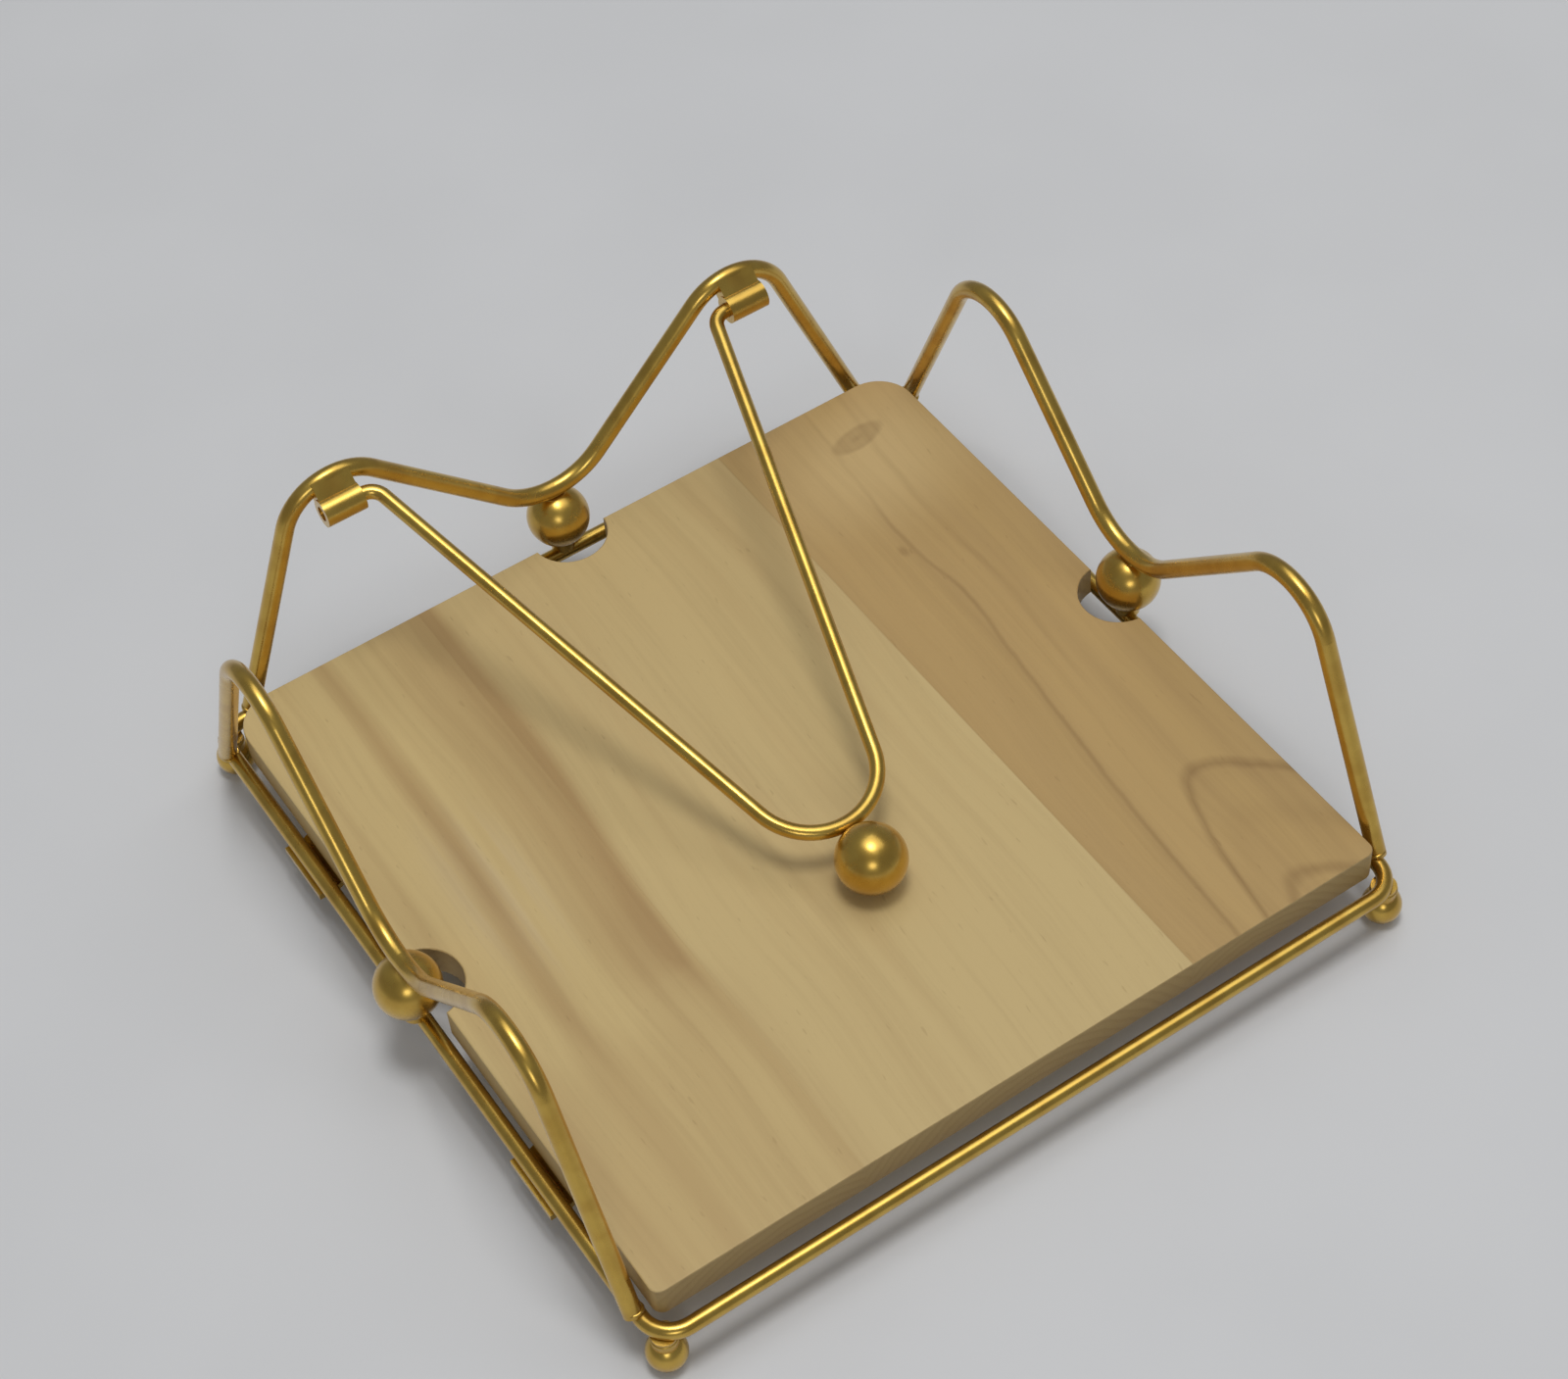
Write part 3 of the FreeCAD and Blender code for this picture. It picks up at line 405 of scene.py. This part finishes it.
def brightStreaks(s, x, y, narrow):
    look = boardLook["bright"]
    spot = s.join(x, s.times(y, look["squash"]))
    middle = (look["middle"][0], look["middle"][1] * look["squash"], 0.0)
    near = s.ramp(s.vector("DISTANCE", spot, middle), *look["reach"])
    return s.times(near, s.ramp(narrow, *look["streaks"]))


def nearMiddle(s, where, look):
    # a soft oval patch
    spot = s.vector("MULTIPLY", where, (look["squash"], 1.0, 0.0))
    middle = (look["middle"][0] * look["squash"], look["middle"][1], 0.0)
    return s.ramp(s.vector("DISTANCE", spot, middle), *look["reach"])


def rightLines(s, x, y):
    # arches at the front corner, one long line beside them, and the knot
    look = boardLook["arches"]
    topX, topY = look["top"]
    power, factor = look["inward"]
    leftward = s.calc("MAXIMUM", s.times(s.minus(x, topX), -1.0), 0.0)
    rightward = s.calc("MAXIMUM", s.minus(x, topX), 0.0)
    inward = s.times(s.calc("POWER", leftward, power), factor)
    steep = s.scaled(s.calc("POWER", leftward, power - 1.0), look["steep"], 1.0)
    power, factor = look["outward"]
    outward = s.times(s.calc("POWER", rightward, power), factor)
    uneven = s.cloud(s.join(s.times(x, look["rippleScale"]), s.times(y, look["rippleScale"]), 3.0))
    ripple = s.times(s.minus(uneven, 0.5), look["ripple"])
    arch = s.add(s.minus(y, topY), inward, outward, ripple)
    total = s.times(s.ramp(arch, *look["inside"]), s.ramp(arch, *look["insideEdge"]))
    for level, width, strength in look["lines"]:
        away = s.calc("DIVIDE", s.apart(arch, level), steep)
        total = s.add(total, s.ramp(away, 0.0, width, strength, 0.0))
    return s.add(total, longLine(s, x, y, ripple), knot(s, x, y, ripple))


def longLine(s, x, y, ripple):
    look = boardLook["longLine"]
    lineX = s.scaled(s.curve(frontToBack(s, y), look["path"]), *look["stave"])
    away = s.add(s.minus(x, lineX), s.times(ripple, look["ripple"]))
    line = s.ramp(s.calc("ABSOLUTE", away), *look["line"])
    shade = s.times(s.ramp(away, *look["shade"]), s.ramp(away, *look["shadeEdge"]))
    total = s.times(s.add(line, shade), s.ramp(y, *look["fade"]))
    speckX, speckY = look["speck"]
    squash = look["speckSquash"]
    speck = s.vector("DISTANCE", s.join(x, s.times(y, squash)), (speckX, speckY * squash, 0.0))
    beside = s.ramp(s.apart(away, look["beside"]), *look["besideLine"])
    return s.add(total, s.ramp(speck, *look["speckReach"]),
                 s.times(beside, s.ramp(y, *look["besideFade"])))


def knot(s, x, y, ripple):
    look = boardLook["knot"]
    long, short = look["half"]
    dx = s.minus(x, look["middle"][0])
    dy = s.minus(s.minus(y, look["middle"][1]), s.times(dx, look["tilt"]))
    oval = s.vector("LENGTH", s.join(s.calc("DIVIDE", dx, long), s.calc("DIVIDE", dy, short)))
    rim = s.add(oval, s.times(ripple, look["ripple"]))
    total = s.ramp(rim, *look["fill"])
    for middle, width, strength in look["rings"]:
        total = s.add(total, s.ramp(s.apart(rim, middle), 0.0, width, strength, 0.0))
    return total


def flecks(s, across, y, depth):
    total = 0.0
    for acrossScale, alongScale, ramp in boardLook["flecks"]:
        spot = s.join(s.times(across, acrossScale), s.times(y, alongScale), depth)
        total = s.add(s.ramp(s.cloud(spot, detail=1.0), *ramp), total)
    return total


# gold lacquer over steel wire, browned a little by the heat of the welds; lengths in millimetres
goldLook = {
    "gold": (0.66, 0.43, 0.075),
    "deep": (0.56, 0.34, 0.05),
    "heat": (0.30, 0.15, 0.03),
    "patches": (0.16, (0.35, 0.7)),        # gold to deep gold: scale, ramp
    "roughness": (0.3, 0.7, 0.26, 0.31),
    "sheenScale": 0.3,
    "coat": 0.6,                           # clear lacquer over the gold
    "coatRoughness": 0.24,
    "heatReach": (0.6, 3.4, 0.55, 0.0),    # away from a weld
    "heatCore": 1.2,
    "heatUneven": 2.4,
    "heatRougher": 0.2,
    "ripple": (0.35, 0.05, 0.35),          # scale, height, strength
    "legWeld": (2.2, 1.2),                 # in from a leg's outer end, above the ring's middle
    "ballWeld": (2.8, 0.6),                # above the ring's middle, below the ball's top
    "footWeld": 2.2,                       # below the ring's middle
    "sleeveWeld": 2.0,                     # behind and above the sleeve's middle
    "armWeld": (7.9, 2.2),                 # behind and above the arm ball's middle
}


def weldSpots():
    # middles of the welds on the right half, millimetres; the left half mirrors them
    look = goldLook
    inset, lift = look["legWeld"]
    aboveRing, belowTop = look["ballWeld"]
    ring = middleOf("base_ring").z / millimetre
    spots = []
    low, high = (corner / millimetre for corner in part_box("right_side_wire"))
    spots += [((low.x + high.x) / 2, end, ring + lift) for end in (low.y + inset, high.y - inset)]
    low, high = (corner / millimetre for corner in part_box("back_side_wire"))
    spots.append((high.x - inset, (low.y + high.y) / 2, ring + lift))
    for ball in ("right_side_ball", "back_side_ball"):
        low, high = (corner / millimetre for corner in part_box(ball))
        x, y = (low.x + high.x) / 2, (low.y + high.y) / 2
        spots += [(x, y, ring + aboveRing), (x, y, high.z - belowTop)]
    for foot in ("foot_front_right", "foot_back_right"):
        middle = middleOf(foot) / millimetre
        spots.append((middle.x, middle.y, ring - look["footWeld"]))
    sleeve = middleOf("hinge_sleeve_right") / millimetre
    spots.append((sleeve.x, sleeve.y + look["sleeveWeld"], sleeve.z + look["sleeveWeld"]))
    return spots


def armSpots():
    middle = middleOf("arm_ball") / millimetre
    back, up = goldLook["armWeld"]
    return [(0.0, middle.y + back, middle.z + up)]


def goldMaterial(name, spots):
    look = goldLook
    s = Shader(name)
    where = s.place()
    mirrored = s.vector("ABSOLUTE", s.vector("MULTIPLY", where, (1.0, 0.0, 0.0)))
    folded = s.vector("ADD", mirrored, s.vector("MULTIPLY", where, (0.0, 1.0, 1.0)))
    nearest = s.vector("DISTANCE", folded, spots[0])
    for spot in spots[1:]:
        nearest = s.calc("MINIMUM", nearest, s.vector("DISTANCE", folded, spot))
    scale, change = look["patches"]
    uneven = s.cloud(where, scale)
    away = s.scaled(uneven, look["heatUneven"], s.minus(nearest, look["heatCore"]))
    heat = s.ramp(away, *look["heatReach"])
    colour = s.blend(s.ramp(uneven, *change), look["gold"], look["deep"])
    colour = s.blend(heat, colour, look["heat"])
    sheen = s.ramp(s.cloud(where, look["sheenScale"]), *look["roughness"])
    s.set(Base_Color=colour, Metallic=1.0, Coat_Weight=look["coat"], Coat_Roughness=look["coatRoughness"])
    s.set(Roughness=s.scaled(heat, look["heatRougher"], sheen))
    scale, height, strength = look["ripple"]
    s.bump(s.cloud(where, scale), height, strength)
    return s.material


screwLook = {
    "zinc": (0.62, 0.60, 0.53),
    "stain": (0.38, 0.33, 0.24),
    "cloudScale": 0.9,
    "staining": (0.4, 0.75),
    "roughness": (0.3, 0.7, 0.26, 0.46),
    "grit": (4.0, 0.02, 0.5),              # scale, height in millimetres, strength
}


def screwMaterial():
    look = screwLook
    s = Shader("zincScrew")
    where = s.place()
    cloudy = s.cloud(where, look["cloudScale"], 3.0)
    s.set(Base_Color=s.blend(s.ramp(cloudy, *look["staining"]), look["zinc"], look["stain"]), Metallic=1.0)
    s.set(Roughness=s.ramp(cloudy, *look["roughness"]))
    scale, height, strength = look["grit"]
    s.bump(s.cloud(where, scale, 3.0), height, strength)
    return s.material


def giveMaterial(thing, material):
    thing.data.materials.clear()
    thing.data.materials.append(material)
    for face in thing.data.polygons:
        face.material_index = 0


frameGold = goldMaterial("goldFrame", weldSpots())
armGold = goldMaterial("goldArm", armSpots())
wood = woodMaterial()
zinc = screwMaterial()
for name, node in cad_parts.items():
    if name == "base_board":
        giveMaterial(node, wood)
    elif name.startswith("board_screw"):
        giveMaterial(node, zinc)
    elif name in ("press_arm", "arm_ball"):
        giveMaterial(node, armGold)
    else:
        giveMaterial(node, frameGold)
print("materials: wood, gold lacquer and zinc")


# weld beads: lumpy collars where wires, balls and feet meet; lengths in metres
beadLook = {
    "round": 40,                           # points round a bead
    "section": 14,                         # points round its section
    "lumps": 0.28,
    "lumpScale": 900.0,
    "leg": {"reach": 0.00195, "thick": 0.00042, "stretch": 1.1, "inset": 0.0024, "lift": 0.0016,
            "out": 0.0003, "lean": (0.37, 0.93)},
    "ball": {"reach": 0.00165, "thick": 0.00042, "stretch": 1.4, "below": 0.0006},
    "foot": {"reach": 0.00262, "thick": 0.0004, "stretch": 1.0, "below": 0.0021},
}


def weldBead(name, middle, axis, look, along=None):
    middle = Vector(middle)
    reach, thick, stretch = look["reach"], look["thick"], look["stretch"]
    up = Vector(axis).normalized()
    side = Vector(along).normalized() if along else up.orthogonal().normalized()
    side = (side - up * side.dot(up)).normalized()
    other = up.cross(side)
    points, faces = [], []
    around, section = beadLook["round"], beadLook["section"]
    for i in range(around):
        turn = 2 * math.pi * i / around
        out = side * math.cos(turn) * stretch + other * math.sin(turn)
        for j in range(section):
            roll = 2 * math.pi * j / section
            point = middle + out * reach + (out.normalized() * math.cos(roll) + up * math.sin(roll)) * thick
            lump = noise.noise(point * beadLook["lumpScale"]) * beadLook["lumps"] * thick
            points.append(point + (out * math.cos(roll) + up * math.sin(roll)) * lump)
    for i in range(around):
        for j in range(section):
            a, b = i * section, ((i + 1) % around) * section
            faces.append((a + j, b + j, b + (j + 1) % section, a + (j + 1) % section))
    mesh = bpy.data.meshes.new(name)
    mesh.from_pydata(points, [], faces)
    mesh.polygons.foreach_set("use_smooth", [True] * len(faces))
    bead = bpy.data.objects.new(name, mesh)
    bpy.context.scene.collection.objects.link(bead)
    rounder = bead.modifiers.new("rounder", "SUBSURF")
    rounder.levels = rounder.render_levels = 1
    mesh.materials.append(frameGold)
    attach(bead, "frame")


def weldAll():
    ring = middleOf("base_ring").z
    leg, onBall, onFoot = beadLook["leg"], beadLook["ball"], beadLook["foot"]
    inset, out, height = leg["inset"], leg["out"], ring + leg["lift"]
    sideways, upwards = leg["lean"]
    for side, sign in (("left", -1), ("right", 1)):
        low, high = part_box(side + "_side_wire")
        x = (low.x + high.x) / 2 - sign * out
        for end, y, lean in (("front", low.y + inset, 1), ("back", high.y - inset, -1)):
            weldBead("weld_%s_wire_%s" % (side, end), (x, y, height), (0, lean * sideways, upwards),
                     leg, (0, 1, 0))
        low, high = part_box("back_side_wire")
        x = high.x - inset if sign > 0 else low.x + inset
        weldBead("weld_back_wire_" + side, (x, (low.y + high.y) / 2 - out, height),
                 (-sign * sideways, 0, upwards), leg, (1, 0, 0))
    for ball, along in (("left_side_ball", (0, 1, 0)), ("right_side_ball", (0, 1, 0)),
                        ("back_side_ball", (1, 0, 0))):
        low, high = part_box(ball)
        middle = (low + high) / 2
        weldBead("weld_%s_above" % ball, (middle.x, middle.y, high.z - onBall["below"]), (0, 0, 1),
                 onBall, along)
    for foot in ("front_left", "front_right", "back_left", "back_right"):
        middle = middleOf("foot_" + foot)
        weldBead("weld_foot_" + foot, (middle.x, middle.y, ring - onFoot["below"]), (0, 0, 1), onFoot)


weldAll()
print("weld beads made")

# floor: a plain pale table top
floorLook = {
    "colour": (0.75, 0.752, 0.758),
    "size": 6.0,                           # metres
    "mottleScale": 0.012,
    "mottle": (0.35, 0.65),
    "mottleShade": 0.975,
    "roughness": 0.62,
}


def makeFloor():
    look = floorLook
    half = look["size"] / 2
    corners = [(-half, -half, 0), (half, -half, 0), (half, half, 0), (-half, half, 0)]
    mesh = bpy.data.meshes.new("floor")
    mesh.from_pydata(corners, [], [(0, 1, 2, 3)])
    floor = bpy.data.objects.new("floor", mesh)
    bpy.context.scene.collection.objects.link(floor)
    s = Shader("paleFloor")
    mottle = s.ramp(s.cloud(s.place(), look["mottleScale"], 3.0), *look["mottle"])
    shaded = tuple(part * look["mottleShade"] for part in look["colour"])
    s.set(Base_Color=s.blend(mottle, look["colour"], shaded), Roughness=look["roughness"])
    mesh.materials.append(s.material)


makeFloor()

# a lamp overhead, the pale ceiling round it and a window at the front left; metres and watts
lightLook = {
    "lamp": {"at": (0.02, -0.08, 2.0), "shape": "ELLIPSE", "size": (0.56, 0.56), "watts": 9.7},
    "ceiling": {"at": (0.40, 0.12, 2.05), "shape": "RECTANGLE", "size": (1.9, 1.7), "watts": 11.6},
    "window": {"at": (-0.95, -1.75, 1.2), "shape": "ELLIPSE", "size": (0.8, 0.6), "watts": 4.0},
    "room": (0.93, 0.96, 1.0),
    "roomStrength": 0.24,
}


def makeLights():
    for name in ("lamp", "ceiling", "window"):
        look = lightLook[name]
        light = bpy.data.lights.new(name, "AREA")
        light.shape = look["shape"]
        light.size, light.size_y = look["size"]
        light.energy = look["watts"]
        holder = bpy.data.objects.new(name, light)
        holder.location = look["at"]
        holder.rotation_euler = Vector(look["at"]).to_track_quat("Z", "Y").to_euler()
        bpy.context.scene.collection.objects.link(holder)
    world = bpy.data.worlds.new("room")
    world.use_nodes = True
    backdrop = world.node_tree.nodes["Background"]
    backdrop.inputs["Color"].default_value = (*lightLook["room"], 1)
    backdrop.inputs["Strength"].default_value = lightLook["roomStrength"]
    bpy.context.scene.world = world


makeLights()
bpy.context.scene.view_settings.view_transform = "Standard"

# camera: place in metres, angles in degrees
cameraLook = {
    "at": (-0.2058, -0.3712, 0.5573),
    "turn": -29.43,
    "down": 50.17,
    "roll": -5.55,
    "lens": 72.2,
    "sensor": 36.0,
    "nearest": 0.01,
}


def makeCamera():
    look = cameraLook
    camera = bpy.data.cameras.new("camera")
    camera.lens = look["lens"]
    camera.sensor_width = look["sensor"]
    camera.clip_start = look["nearest"]
    holder = bpy.data.objects.new("camera", camera)
    turn = Matrix.Rotation(math.radians(look["turn"]), 4, "Z")
    tilt = Matrix.Rotation(math.radians(90 - look["down"]), 4, "X")
    roll = Matrix.Rotation(math.radians(look["roll"]), 4, "Z")
    holder.matrix_world = Matrix.Translation(look["at"]) @ turn @ tilt @ roll
    bpy.context.scene.collection.objects.link(holder)
    bpy.context.scene.camera = holder


makeCamera()
print("floor, lights and camera placed")
